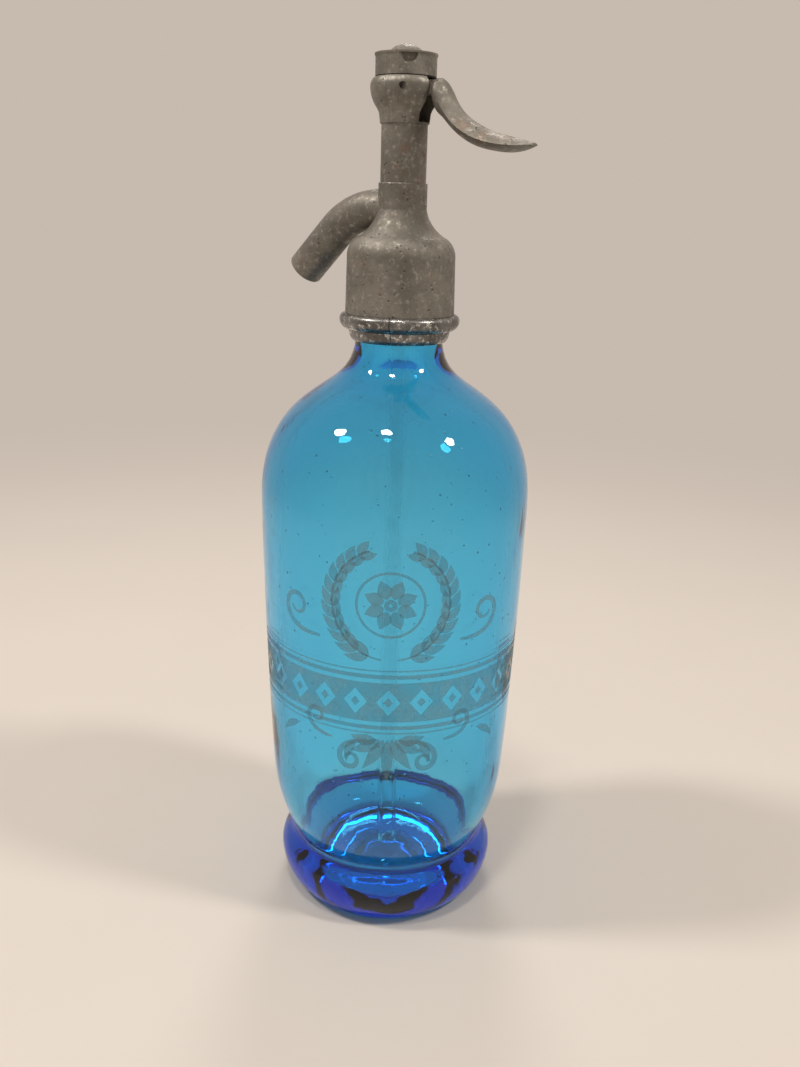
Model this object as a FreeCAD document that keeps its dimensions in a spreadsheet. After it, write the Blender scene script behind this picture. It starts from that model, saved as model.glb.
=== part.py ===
"""Soda siphon: a thick blue glass bottle under a pewter dispensing head with a spout and a thumb lever.

Millimetres, +Z up. The origin is the middle of the bottle's foot on the table. The lever points along +X and
the spout along -X.
"""

import FreeCAD
import Part
import math
import os
import re
import Sketcher

DOCUMENT = FreeCAD.newDocument("soda_siphon")
ON_AXIS = "on axis"

SIZES = {
    # Glass bottle, outside, from the foot up
    "foot_rest_radius": 36.9,
    "foot_bulge_radius": 44.8,
    "foot_bulge_height": 15.0,
    "waist_radius": 39.3,
    "waist_rise": 11.0,
    "waist_half_height": 3.6,
    "belly_low_radius": 48.0,
    "flare_length": 32.0,
    "belly_top_radius": 51.7,
    "belly_length": 110.0,
    "shoulder_radius": 41.2,
    "shoulder_length": 35.0,
    "neck_foot_radius": 26.5,
    "neck_cone_length": 10.6,
    "neck_low_radius": 16.1,
    "neck_flare_length": 13.4,
    "neck_radius": 15.3,
    "neck_length": 23.5,
    "lip_radius": 16.6,
    "lip_depth": 7.0,
    # Glass bottle, inside
    "glass_wall": 5.5,
    "glass_floor": 12.0,
    "kick_height": 6.0,
    "kick_radius": 33.0,
    "neck_bore": 9.6,
    # Collar, a ring in two halves round the neck
    "collar_lift": 1.9,
    "collar_skirt_radius": 18.5,
    "collar_skirt_length": 4.1,
    "collar_waist_radius": 18.9,
    "collar_bead_radius": 22.3,
    "collar_bead_rise": 3.6,
    "collar_screw_radius": 18.2,
    "collar_joint_angle": -66.0,
    "collar_joint_gap": 0.3,
    # Bell of the head
    "bell_lift": 2.3,
    "bell_radius": 20.2,
    "bell_taper": 0.4,
    "bell_side_length": 19.8,
    "bell_shoulder_radius": 16.4,
    "bell_shoulder_length": 7.0,
    "bell_neck_radius": 8.8,
    "bell_cone_length": 9.7,
    "bell_neck_length": 9.2,
    "gasket_thickness": 2.0,
    "holder_flange": 3.0,
    "core_bore": 5.4,
    "column_socket_radius": 6.2,
    "column_socket_depth": 3.6,
    # Spout
    "spout_rise": 0.3,
    "spout_straight": 9.0,
    "spout_bend_radius": 29.0,
    "spout_bend_angle": 45.0,
    "spout_nose": 21.4,
    "spout_radius": 6.8,
    "spout_rim_round": 1.0,
    "spout_bore": 3.75,
    "spout_spigot_radius": 5.2,
    # Column, gland and rod
    "column_radius": 8.2,
    "column_length": 19.6,
    "gland_drop": 14.2,
    "gland_radius": 5.0,
    "packing_height": 5.0,
    "nut_height": 4.6,
    "housing_socket_radius": 6.5,
    "housing_socket_depth": 3.4,
    "rod_radius": 2.0,
    # Lever housing
    "housing_foot_radius": 8.7,
    "bulb_radius": 12.35,
    "bulb_rise": 12.1,
    "bulb_top_length": 2.7,
    "housing_top_radius": 11.1,
    "piston_radius": 3.2,
    "slot_width": 7.0,
    "screw_neck_radius": 8.6,
    "screw_neck_length": 4.5,
    # Cap
    "cap_washer": 0.4,
    "cap_radius": 10.7,
    "cap_rim_radius": 11.0,
    "cap_length": 7.3,
    "cap_roof_rise": 0.3,
    "dome_radius": 6.3,
    "dome_rise": 3.3,
    "spanner_notch_radius": 2.9,
    "spanner_notch_depth": 1.2,
    "cap_turn": 39.0,
    # Lever, pin and piston
    "pivot_x": 5.8,
    "pivot_drop": 0.7,
    "pin_radius": 1.2,
    "pin_length": 20.6,
    "hub_radius": 2.2,
    "tongue_width": 6.5,
    "nose_radius": 1.5,
    "nose_width": 3.2,
    "mortise_width": 3.6,
    "mortise_drop": 2.9,
    "mortise_depth": 2.2,
    "piston_head_drop": 6.6,
    "piston_crown": 2.0,
    "lever_width": 12.4,
    "lever_length": 38.2,
    "lever_fall": 18.4,
    # Valve
    "seat_gasket": 1.5,
    "seat_length": 9.0,
    "seat_bore": 2.6,
    "valve_radius": 4.4,
    "valve_disc": 2.0,
    "valve_holder": 4.5,
    "valve_screw_radius": 1.0,
    "valve_screw_head": 1.0,
    # Spring
    "spring_wire": 0.8,
    "spring_turns": 4.5,
    "spring_washer": 0.4,
    # Dip tube
    "stem_radius": 9.2,
    "stem_length": 14.0,
    "tube_radius": 3.9,
    "tube_bore": 2.5,
    "tube_socket_depth": 12.0,
    "tube_gasket": 1.2,
    "tube_bottom": 15.0,
    # Clearances, measured on the radius
    "seat_gap": 0.05,
    "slide_gap": 0.08,
    "neck_gap": 0.2,
}

# Heights above the table, each stacked on the piece below it
HEIGHTS = {
    "waist_height": "foot_bulge_height + waist_rise",
    "belly_low_height": "waist_height + flare_length",
    "belly_top_height": "belly_low_height + belly_length",
    "shoulder_height": "belly_top_height + shoulder_length",
    "neck_foot_height": "shoulder_height + neck_cone_length",
    "neck_low_height": "neck_foot_height + neck_flare_length",
    "glass_height": "neck_low_height + neck_length",
    "collar_skirt_bottom": "neck_low_height + collar_lift",
    "collar_waist_height": "collar_skirt_bottom + collar_skirt_length",
    "collar_bead_height": "collar_waist_height + collar_bead_rise",
    "bell_bottom": "collar_bead_height + bell_lift",
    "bell_side_top": "bell_bottom + bell_side_length",
    "bell_shoulder_height": "bell_side_top + bell_shoulder_length",
    "bell_neck_bottom": "bell_shoulder_height + bell_cone_length",
    "bell_top": "bell_neck_bottom + bell_neck_length",
    "bell_roof": "glass_height + gasket_thickness + holder_flange",
    "spout_height": "bell_neck_bottom + spout_rise",
    "column_top": "bell_top + column_length",
    "gland_floor": "column_top - gland_drop",
    "bulb_height": "column_top + bulb_rise",
    "housing_top": "bulb_height + bulb_top_length",
    "screw_neck_top": "housing_top + screw_neck_length",
    "cap_rim_height": "housing_top + cap_washer + cap_length",
    "cap_roof": "cap_rim_height + cap_roof_rise",
    "dome_height": "cap_rim_height + dome_rise",
    "pivot_height": "bulb_height - pivot_drop",
    "piston_bottom": "pivot_height - piston_head_drop",
    "valve_height": "bell_roof + seat_gasket + seat_length",
}

SHEET = DOCUMENT.addObject("Spreadsheet::Sheet", "Sizes")
for row, (alias, size) in enumerate({**SIZES, **HEIGHTS}.items(), start=1):
    SHEET.set(f"A{row}", alias)
    SHEET.setAlias(f"B{row}", alias)
    SHEET.set(f"B{row}", f"={size}")
DOCUMENT.recompute()


def bound(expression):
    """The expression with each size's name led by the sheet's name."""
    return re.sub(r"[a-z][a-z_]+", lambda word: f"Sizes.{word.group()}", expression)


def number(expression):
    """The present value of an expression of sizes."""
    return float(SHEET.evalExpression(bound(expression)))


def new_body(label):
    """An empty body that carries a node's name."""
    body = DOCUMENT.addObject("PartDesign::Body", label)
    body.Label = label
    return body


def plane(body, role):
    """One of a body's own origin planes."""
    return next(item for item in body.Origin.OriginFeatures if item.Role == role)


def new_sketch(body, name, role="XZ_Plane", offset=None):
    """A sketch on one of the body's planes, moved along its normal by an expression."""
    sketch = body.newObject("Sketcher::SketchObject", name)
    sketch.AttachmentSupport = [(plane(body, role), "")]
    sketch.MapMode = "FlatFace"
    if offset:
        sketch.setExpression("AttachmentOffset.Base.z", bound(offset))
    return sketch


class Rules:
    """The constraints of one sketch, added together, with the expressions that hold them."""

    def __init__(self, sketch):
        self.sketch = sketch
        self.constraints = []
        self.expressions = []

    def add(self, constraint, expression=None):
        """Note a constraint, and the expression of its size if it has one."""
        if expression:
            self.expressions.append((len(self.constraints), expression))
        self.constraints.append(constraint)

    def coordinate(self, kind, geometry, vertex, expression):
        """Hold one coordinate of a point at an expression."""
        size = number(expression)
        if abs(size) < 1e-6:
            axis = -2 if kind == "DistanceX" else -1
            self.add(Sketcher.Constraint("PointOnObject", geometry, vertex, axis))
        elif size > 0:
            self.add(Sketcher.Constraint(kind, -1, 1, geometry, vertex, size), bound(expression))
        else:
            self.add(Sketcher.Constraint(kind, geometry, vertex, -1, 1, -size), f"-({bound(expression)})")

    def point(self, geometry, vertex, x, y):
        """Hold a point at a pair of expressions."""
        self.coordinate("DistanceX", geometry, vertex, x)
        self.coordinate("DistanceY", geometry, vertex, y)

    def apply(self):
        """Give the sketch its constraints and expressions."""
        first = self.sketch.ConstraintCount
        self.sketch.addConstraint(self.constraints)
        for index, expression in self.expressions:
            self.sketch.setExpression(f"Constraints[{first + index}]", expression)


def dome_middle(start, end):
    """The middle of the short arc from start to end whose centre is on the turning axis."""
    height = (end.Length ** 2 - start.Length ** 2) / (2 * (end.y - start.y))
    centre = FreeCAD.Vector(0, height, 0)
    toward = (start + end) * 0.5 - centre
    return centre + toward.normalize() * (start - centre).Length


def outline(sketch, corners):
    """Close a chain of lines and arcs through corners given as (x, y) or (x, y, via x, via y) expressions.

    A corner with a via point ends an arc that passes through that point. A corner (x, y, ON_AXIS) ends an
    arc whose centre is on the turning axis, as a dome's is.
    """
    rules = Rules(sketch)
    points = [FreeCAD.Vector(number(corner[0]), number(corner[1]), 0) for corner in corners]
    curves = []
    for index, corner in enumerate(corners):
        start, end = points[index - 1], points[index]
        if len(corner) > 2:
            domed = corner[2] == ON_AXIS
            via = dome_middle(start, end) if domed else FreeCAD.Vector(number(corner[2]), number(corner[3]), 0)
            leftward = (via - start).cross(end - via).z > 0
            first, last = (1, 2) if leftward else (2, 1)
            curve = sketch.addGeometry(Part.Arc(start, via, end) if leftward else Part.Arc(end, via, start))
            if domed:
                rules.add(Sketcher.Constraint("PointOnObject", curve, 3, -2))
            else:
                mark = sketch.addGeometry(Part.Point(via), True)
                rules.point(mark, 1, corner[2], corner[3])
                rules.add(Sketcher.Constraint("PointOnObject", mark, 1, curve))
        else:
            curve = sketch.addGeometry(Part.LineSegment(start, end))
            first, last = 1, 2
        curves.append((curve, first, last))
    for index, (curve, first, last) in enumerate(curves):
        before, _, before_last = curves[index - 1]
        rules.add(Sketcher.Constraint("Coincident", before, before_last, curve, first))
        rules.point(curve, last, corners[index][0], corners[index][1])
    rules.apply()


def circle(sketch, x, y, radius):
    """A circle with its middle and radius held at expressions."""
    rules = Rules(sketch)
    middle = FreeCAD.Vector(number(x), number(y), 0)
    curve = sketch.addGeometry(Part.Circle(middle, FreeCAD.Vector(0, 0, 1), number(radius)))
    rules.point(curve, 3, x, y)
    rules.add(Sketcher.Constraint("Radius", curve, number(radius)), bound(radius))
    rules.apply()


def turned(label, corners, angle="360"):
    """A body turned about the bottle's axis from a half section."""
    body = new_body(label)
    section = new_sketch(body, f"{label}_section")
    outline(section, corners)
    turn = body.newObject("PartDesign::Revolution", f"{label}_turn")
    turn.Profile = section
    turn.ReferenceAxis = (section, ["V_Axis"])
    turn.setExpression("Angle", bound(angle))
    section.Visibility = False
    return body


def cut_through(body, name, sketch, length, reverse=False, both_ways=False):
    """A pocket whose sketch and length are given."""
    pocket = body.newObject("PartDesign::Pocket", name)
    pocket.Profile = sketch
    pocket.Type = 0
    pocket.setExpression("Length", bound(length))
    pocket.Midplane = both_ways
    pocket.Reversed = reverse
    return pocket


def build_glass():
    """The bottle: a bulging foot over a waist, a slightly flared body, a round shoulder and a neck with a lip."""
    waist_join = "waist_radius + 1.7"
    return turned("glass_bottle", [
        ("kick_radius", "0", ON_AXIS),
        ("foot_rest_radius", "0"),
        ("foot_bulge_radius", "foot_bulge_height", "foot_bulge_radius - 2.1", "foot_bulge_height * 0.44"),
        (waist_join, "waist_height - waist_half_height", "foot_bulge_radius - 0.8", "foot_bulge_height + 4.4"),
        (waist_join, "waist_height + waist_half_height", "waist_radius", "waist_height"),
        ("belly_low_radius", "belly_low_height", "belly_low_radius - 2.2", "belly_low_height - 16"),
        ("belly_top_radius", "belly_top_height", "belly_top_radius - 1.3",
         "( belly_low_height + belly_top_height ) / 2"),
        ("shoulder_radius", "shoulder_height", "belly_top_radius - 1.8", "belly_top_height + 19.4"),
        ("neck_foot_radius", "neck_foot_height"),
        ("neck_low_radius", "neck_low_height", "neck_low_radius + 3.2", "neck_foot_height + 5.6"),
        ("neck_radius", "neck_low_height + 9"),
        ("neck_radius", "glass_height - lip_depth"),
        ("lip_radius", "glass_height - lip_depth"),
        ("lip_radius", "glass_height"),
        ("neck_bore", "glass_height"),
        ("neck_bore", "neck_low_height - 2"),
        ("neck_foot_radius - glass_wall + 1", "neck_foot_height - 4.8", "neck_bore + 3", "neck_foot_height + 1.2"),
        ("shoulder_radius - glass_wall + 1", "shoulder_height - 5"),
        ("belly_top_radius - glass_wall", "belly_top_height - 1",
         "belly_top_radius - glass_wall - 1.9", "belly_top_height + 16"),
        ("belly_low_radius - glass_wall", "belly_low_height",
         "belly_top_radius - glass_wall - 1.3", "( belly_low_height + belly_top_height ) / 2"),
        ("waist_radius - glass_wall", "glass_floor + 12",
         "belly_low_radius - glass_wall - 3", "belly_low_height - 19"),
        ("waist_radius - glass_wall - 12", "glass_floor", "waist_radius - glass_wall - 3", "glass_floor + 4"),
        ("0", "glass_floor"),
        ("0", "kick_height"),
    ])


def build_collar(label, turned_by):
    """One half of the collar, which hooks under the glass lip and carries the head's thread."""
    body = turned(label, [
        ("neck_radius + neck_gap", "collar_waist_height + 2"),
        ("neck_low_radius + neck_gap", "collar_skirt_bottom"),
        ("neck_low_radius + 1", "collar_skirt_bottom"),
        ("collar_skirt_radius", "collar_skirt_bottom + 2.2", "collar_skirt_radius - 0.5", "collar_skirt_bottom + 0.9"),
        ("collar_waist_radius", "collar_waist_height"),
        ("collar_bead_radius", "collar_bead_height", "collar_bead_radius - 0.7", "collar_bead_height - 2.1"),
        ("collar_bead_radius - 1.9", "bell_bottom - seat_gap", "collar_bead_radius - 0.5", "collar_bead_height + 1.5"),
        ("collar_screw_radius", "bell_bottom - seat_gap"),
        ("collar_screw_radius", "glass_height - 0.6"),
        ("lip_radius + neck_gap", "glass_height - 0.6"),
        ("lip_radius + neck_gap", "glass_height - lip_depth - seat_gap"),
        ("neck_radius + neck_gap", "glass_height - lip_depth - seat_gap"),
    ], angle="180 - collar_joint_gap * 57.3 / collar_bead_radius")
    half_gap = "collar_joint_gap * 28.65 / collar_bead_radius"
    body.setExpression("Placement.Rotation.Angle", bound(f"collar_joint_angle + {turned_by} + {half_gap}"))
    return body


def build_bell():
    """The head's bell: a skirt over the collar, a round shoulder and a neck that takes the spout and column."""
    bore = "collar_screw_radius + seat_gap * 2"
    body = turned("bell", [
        (bore, "bell_bottom"),
        ("bell_radius", "bell_bottom"),
        ("bell_radius - bell_taper", "bell_side_top"),
        ("bell_shoulder_radius", "bell_shoulder_height", "bell_shoulder_radius + 2.6", "bell_shoulder_height - 3"),
        ("bell_neck_radius", "bell_neck_bottom", "bell_neck_radius + 2.5", "bell_shoulder_height + 4.3"),
        ("bell_neck_radius", "bell_top - 0.6"),
        ("bell_neck_radius - 0.5", "bell_top", "bell_neck_radius - 0.13", "bell_top - 0.16"),
        ("column_socket_radius", "bell_top"),
        ("column_socket_radius", "bell_top - column_socket_depth"),
        ("core_bore", "bell_top - column_socket_depth"),
        ("core_bore", "bell_roof"),
        (bore, "bell_roof"),
    ])
    socket = new_sketch(body, "spout_socket", "YZ_Plane")
    circle(socket, "0", "spout_height", "spout_spigot_radius")
    cut_through(body, "spout_hole", socket, "bell_neck_radius * 2", reverse=False)
    return body


def build_spout(bell):
    """The spout: one bent tube, saddled on the bell's neck, with a spigot in the bell and a bore right through."""
    start = FreeCAD.Vector(0, 0, number("spout_height"))
    turn = math.radians(number("spout_bend_angle"))
    bend = number("spout_bend_radius")
    straight = number("spout_straight")
    nose = number("spout_nose")

    def on_bend(angle):
        return start + FreeCAD.Vector(-straight - bend * math.sin(angle), 0, -bend * (1 - math.cos(angle)))

    tip = on_bend(turn) + FreeCAD.Vector(-math.cos(turn), 0, -math.sin(turn)) * nose
    path = Part.Wire([
        Part.LineSegment(start, on_bend(0)).toShape(),
        Part.Arc(on_bend(0), on_bend(turn / 2), on_bend(turn)).toShape(),
        Part.LineSegment(on_bend(turn), tip).toShape(),
    ])

    def tube(radius):
        ring = Part.Wire([Part.Circle(start, FreeCAD.Vector(-1, 0, 0), radius).toShape()])
        return path.makePipeShell([ring], True, False)

    outside = tube(number("spout_radius"))
    rim = [edge for edge in outside.Edges if (edge.CenterOfMass - tip).Length < 0.1]
    outside = outside.makeFillet(number("spout_rim_round"), rim)
    core = Part.makeCylinder(
        number("bell_neck_radius") - 1, number("spout_height + spout_radius - bell_roof"),
        FreeCAD.Vector(0, 0, number("bell_roof")))
    outside = outside.cut(core).cut(bell.Shape)
    wall = number("bell_neck_radius") - number("core_bore")
    spigot = Part.makeCylinder(
        number("spout_spigot_radius"), wall + 3, start - FreeCAD.Vector(number("core_bore") + 0.6, 0, 0),
        FreeCAD.Vector(-1, 0, 0))
    solid = outside.fuse(spigot).cut(tube(number("spout_bore"))).removeSplitter()
    piece = DOCUMENT.addObject("Part::Feature", "spout")
    piece.Label = "spout"
    piece.Shape = max(solid.Solids, key=lambda item: item.Volume)
    return piece


def build_column():
    """The column: a spigot into the bell, the gland's chamber and a socket for the lever housing."""
    return turned("column", [
        ("rod_radius + slide_gap * 2", "bell_top - column_socket_depth"),
        ("column_socket_radius - seat_gap", "bell_top - column_socket_depth"),
        ("column_socket_radius - seat_gap", "bell_top"),
        ("column_radius", "bell_top"),
        ("column_radius", "column_top"),
        ("housing_socket_radius", "column_top"),
        ("housing_socket_radius", "column_top - housing_socket_depth"),
        ("gland_radius", "column_top - housing_socket_depth"),
        ("gland_radius", "gland_floor"),
        ("rod_radius + slide_gap * 2", "gland_floor"),
    ])


def build_gland():
    """The packing round the piston's rod and the nut that presses it."""
    packing = turned("gland_packing", [
        ("rod_radius + slide_gap", "gland_floor"),
        ("gland_radius - seat_gap", "gland_floor"),
        ("gland_radius - seat_gap", "gland_floor + packing_height"),
        ("rod_radius + slide_gap", "gland_floor + packing_height"),
    ])
    nut = turned("gland_nut", [
        ("rod_radius + slide_gap * 2", "gland_floor + packing_height"),
        ("gland_radius - seat_gap", "gland_floor + packing_height"),
        ("gland_radius - seat_gap", "gland_floor + packing_height + nut_height"),
        ("rod_radius + slide_gap * 2", "gland_floor + packing_height + nut_height"),
    ])
    slot = new_sketch(nut, "driver_slot", "YZ_Plane")
    top = "gland_floor + packing_height + nut_height"
    outline(slot, [
        ("-0.8", f"{top} - 1.5"), ("0.8", f"{top} - 1.5"), ("0.8", f"{top} + 1"), ("-0.8", f"{top} + 1"),
    ])
    cut_through(nut, "driver_slot_cut", slot, "gland_radius * 2", both_ways=True)
    return packing, nut


def build_housing():
    """The lever housing: a pear-shaped bulb, slotted on the lever's side and drilled across for the pin."""
    bore = "piston_radius + slide_gap"
    body = turned("lever_housing", [
        (bore, "column_top - housing_socket_depth"),
        ("housing_socket_radius - seat_gap", "column_top - housing_socket_depth"),
        ("housing_socket_radius - seat_gap", "column_top"),
        ("housing_foot_radius", "column_top"),
        ("housing_foot_radius + 0.3", "column_top + 2.1"),
        ("bulb_radius - 2.35", "bulb_height - 7", "housing_foot_radius + 0.56", "column_top + 3.68"),
        ("bulb_radius", "bulb_height", "bulb_radius - 0.6", "bulb_height - 3.69"),
        ("housing_top_radius", "housing_top", "bulb_radius - 0.33", "bulb_height + bulb_top_length * 0.55"),
        ("screw_neck_radius", "housing_top"),
        ("screw_neck_radius", "screw_neck_top"),
        (bore, "screw_neck_top"),
    ])
    slot = new_sketch(body, "lever_slot", "XZ_Plane")
    outline(slot, [
        ("1", "column_top + 0.4"), ("bulb_radius + 3", "column_top + 0.4"),
        ("bulb_radius + 3", "housing_top"), ("1", "housing_top"),
    ])
    cut_through(body, "lever_slot_cut", slot, "slot_width", both_ways=True)
    cross = new_sketch(body, "pin_hole", "XZ_Plane")
    circle(cross, "pivot_x", "pivot_height", "pin_radius")
    cut_through(body, "pin_hole_cut", cross, "bulb_radius * 2 + 2", both_ways=True)
    return body


def build_cap():
    """The cap that closes the spring chamber: a flared rim, a domed top and two half-moon spanner notches."""
    base = "housing_top + cap_washer"
    body = turned("cap", [
        ("screw_neck_radius + seat_gap * 2", base),
        ("cap_radius", base),
        ("cap_radius", "cap_rim_height - 1.6"),
        ("cap_rim_radius", "cap_rim_height - 0.5", "cap_radius + 0.1", "cap_rim_height - 0.9"),
        ("cap_rim_radius", "cap_rim_height"),
        ("dome_radius + 0.6", "cap_rim_height + 0.3"),
        ("dome_radius - 0.6", "cap_rim_height + 0.9", "dome_radius - 0.1", "cap_rim_height + 0.45"),
        ("0", "dome_height", ON_AXIS),
        ("0", "cap_roof"),
        ("piston_radius + slide_gap * 4", "cap_roof"),
        ("piston_radius + slide_gap * 4", "screw_neck_top + seat_gap"),
        ("screw_neck_radius + seat_gap * 2", "screw_neck_top + seat_gap"),
    ])
    for side in (-1, 1):
        face = new_sketch(
            body, f"spanner_notch_{side + 1}", "XZ_Plane", f"{side} * ( cap_radius - spanner_notch_depth )")
        outline(face, [
            ("-spanner_notch_radius", "cap_rim_height - 0.7"),
            ("spanner_notch_radius", "cap_rim_height - 0.7", "0", "cap_rim_height - 0.7 - spanner_notch_radius"),
        ])
        cut_through(body, f"spanner_notch_cut_{side + 1}", face, "spanner_notch_depth * 2", reverse=side > 0)
    body.setExpression("Placement.Rotation.Angle", bound("cap_turn"))
    return body


def build_washers():
    """The thin washer under the cap, the washer over the spring, and the lip gasket between glass and head."""
    cap_washer = turned("cap_washer", [
        ("screw_neck_radius + seat_gap", "housing_top"),
        ("cap_radius - 0.4", "housing_top"),
        ("cap_radius - 0.4", "housing_top + cap_washer"),
        ("screw_neck_radius + seat_gap", "housing_top + cap_washer"),
    ])
    spring_washer = turned("spring_washer", [
        ("piston_radius * 0.4", "cap_roof - spring_washer"),
        ("piston_radius", "cap_roof - spring_washer"),
        ("piston_radius", "cap_roof"),
        ("piston_radius * 0.4", "cap_roof"),
    ])
    lip_gasket = turned("lip_gasket", [
        ("stem_radius + seat_gap", "glass_height"),
        ("collar_screw_radius - 0.2", "glass_height"),
        ("collar_screw_radius - 0.2", "glass_height + gasket_thickness"),
        ("stem_radius + seat_gap", "glass_height + gasket_thickness"),
    ])
    return cap_washer, spring_washer, lip_gasket


def build_blade():
    """The lever's blade: a loft of sections, each a crown arc over a keel arc, from the knob to the tip."""
    pivot = FreeCAD.Vector(number("pivot_x"), 0, number("pivot_height"))
    root = number("bulb_radius - pivot_x") + 0.85
    width = number("lever_width")
    length = number("lever_length") / 38
    fall = number("lever_fall") / 18.4
    # Crown and keel from the knob's face and the pivot, and the width as a share of the lever's
    stations = [
        (0, 2.0, 0, -5.4, 0.60),
        (1.1, 3.0, 0.3, -6.9, 0.74),
        (3.0, 2.0, 1.3, -8.4, 0.80),
        (5.3, -1.0, 2.9, -9.6, 0.85),
        (7.1, -4.1, 5.2, -11.7, 0.90),
        (10.1, -7.6, 8.3, -14.4, 0.94),
        (15.0, -11.0, 13.4, -17.6, 0.98),
        (20.7, -13.7, 19.8, -19.8, 1.0),
        (26.4, -15.3, 26.2, -20.8, 0.97),
        (31.3, -16.3, 31.8, -20.8, 0.84),
        (35.4, -17.3, 35.8, -19.9, 0.62),
        (37.9, -18.0, 38.0, -19.1, 0.34),
    ]
    sections = []
    for crown_x, crown_z, keel_x, keel_z, share in stations:
        crown = pivot + FreeCAD.Vector(root + crown_x * length, 0, crown_z * fall)
        keel = pivot + FreeCAD.Vector(root + keel_x * length, 0, keel_z * fall)
        ridge = crown + (keel - crown) * 0.58
        edge = FreeCAD.Vector(0, width * share / 2, 0)
        sections.append(Part.Wire([
            Part.Arc(ridge + edge, crown, ridge - edge).toShape(),
            Part.Arc(ridge - edge, keel, ridge + edge).toShape(),
        ]))
    return Part.makeLoft(sections, True, False)


def build_lever():
    """The thumb lever: a nose in the piston, a hub on the pin, a tongue in the slot and a curved blade."""
    body = new_body("lever_tongue")
    side = new_sketch(body, "lever_side")
    outline(side, [
        ("0", "pivot_height - nose_radius", "-nose_radius", "pivot_height"),
        ("pivot_x - 1.6", "pivot_height - nose_radius"),
        ("pivot_x", "pivot_height - hub_radius"),
        ("bulb_radius + 2.6", "pivot_height - hub_radius"),
        ("bulb_radius + 2.6", "pivot_height + hub_radius"),
        ("pivot_x", "pivot_height + hub_radius"),
        ("pivot_x - 1.6", "pivot_height + nose_radius"),
        ("0", "pivot_height + nose_radius"),
    ])
    pad = body.newObject("PartDesign::Pad", "tongue_pad")
    pad.Profile = side
    pad.setExpression("Length", bound("tongue_width"))
    pad.Midplane = True
    for cheek in (-1, 1):
        relief = new_sketch(body, f"nose_relief_{cheek + 1}", "XY_Plane")
        near, far = f"{cheek} * nose_width / 2", f"{cheek} * tongue_width"
        corners = [("-nose_radius - 1", near), ("pivot_x - hub_radius - 0.1", near),
                   ("pivot_x - hub_radius - 0.1", far), ("-nose_radius - 1", far)]
        outline(relief, corners)
        cut_through(body, f"nose_relief_cut_{cheek + 1}", relief, "dome_height * 3", both_ways=True)
    DOCUMENT.recompute()
    hole = Part.makeCylinder(
        number("pin_radius + slide_gap"), number("lever_width * 2"),
        FreeCAD.Vector(number("pivot_x"), -number("lever_width"), number("pivot_height")), FreeCAD.Vector(0, 1, 0))
    lever = DOCUMENT.addObject("Part::Feature", "lever")
    lever.Label = "lever"
    lever.Shape = build_blade().fuse(body.Shape).cut(hole).removeSplitter()
    return lever


def build_pin():
    """The pivot pin across the housing."""
    body = new_body("pivot_pin")
    ring = new_sketch(body, "pin_section")
    circle(ring, "pivot_x", "pivot_height", "pin_radius")
    pad = body.newObject("PartDesign::Pad", "pin_length_pad")
    pad.Profile = ring
    pad.setExpression("Length", bound("pin_length"))
    pad.Midplane = True
    return body


def build_piston():
    """The piston: a mortised head that the lever's nose lifts, over a long rod down to the valve."""
    crown = "pivot_height + nose_radius + slide_gap + piston_crown"
    body = turned("piston", [
        ("0", "valve_height + seat_gap + valve_disc + valve_holder / 2"),
        ("rod_radius", "valve_height + seat_gap + valve_disc + valve_holder / 2"),
        ("rod_radius", "piston_bottom"),
        ("piston_radius", "piston_bottom"),
        ("piston_radius", crown),
        ("piston_radius / 2", crown),
        ("piston_radius / 2", f"{crown} + 1.2"),
        ("0", f"{crown} + 1.2"),
    ])
    mortise = new_sketch(body, "mortise")
    outline(mortise, [
        ("-mortise_depth", "pivot_height - mortise_drop"),
        ("piston_radius + 1", "pivot_height - mortise_drop"),
        ("piston_radius + 1", "pivot_height + nose_radius + slide_gap"),
        ("-mortise_depth", "pivot_height + nose_radius + slide_gap"),
    ])
    cut_through(body, "mortise_cut", mortise, "mortise_width", both_ways=True)
    return body


def build_valve():
    """The valve: a seat bush on its gasket, and a rubber disc held by a screw in the holder on the rod."""
    seat_bottom = "valve_height - seat_length"
    seat = turned("valve_seat", [
        ("seat_bore", seat_bottom),
        ("core_bore - seat_gap", seat_bottom),
        ("core_bore - seat_gap", "valve_height - 1.2"),
        ("seat_bore + 1", "valve_height"),
        ("seat_bore", "valve_height"),
    ])
    gasket = turned("seat_gasket", [
        ("seat_bore", "bell_roof"),
        ("core_bore - seat_gap", "bell_roof"),
        ("core_bore - seat_gap", seat_bottom),
        ("seat_bore", seat_bottom),
    ])
    disc_bottom = "valve_height + seat_gap"
    disc_top = "valve_height + seat_gap + valve_disc"
    disc = turned("valve_disc", [
        ("valve_screw_radius", disc_bottom),
        ("valve_radius", disc_bottom),
        ("valve_radius", disc_top),
        ("valve_screw_radius", disc_top),
    ])
    holder = turned("valve_holder", [
        ("valve_screw_radius", disc_top),
        ("valve_radius", disc_top),
        ("valve_radius", f"{disc_top} + valve_holder / 2"),
        ("rod_radius + 0.8", f"{disc_top} + valve_holder"),
        ("rod_radius", f"{disc_top} + valve_holder"),
        ("rod_radius", f"{disc_top} + valve_holder / 2"),
        ("valve_screw_radius", f"{disc_top} + valve_holder / 2"),
    ])
    screw = turned("valve_screw", [
        ("0", f"{disc_bottom} - valve_screw_head"),
        ("valve_screw_radius * 1.9", f"{disc_bottom} - valve_screw_head"),
        ("valve_screw_radius * 1.9", disc_bottom),
        ("valve_screw_radius", disc_bottom),
        ("valve_screw_radius", f"{disc_top} + valve_holder / 2"),
        ("0", f"{disc_top} + valve_holder / 2"),
    ])
    return seat, gasket, disc, holder, screw


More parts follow.
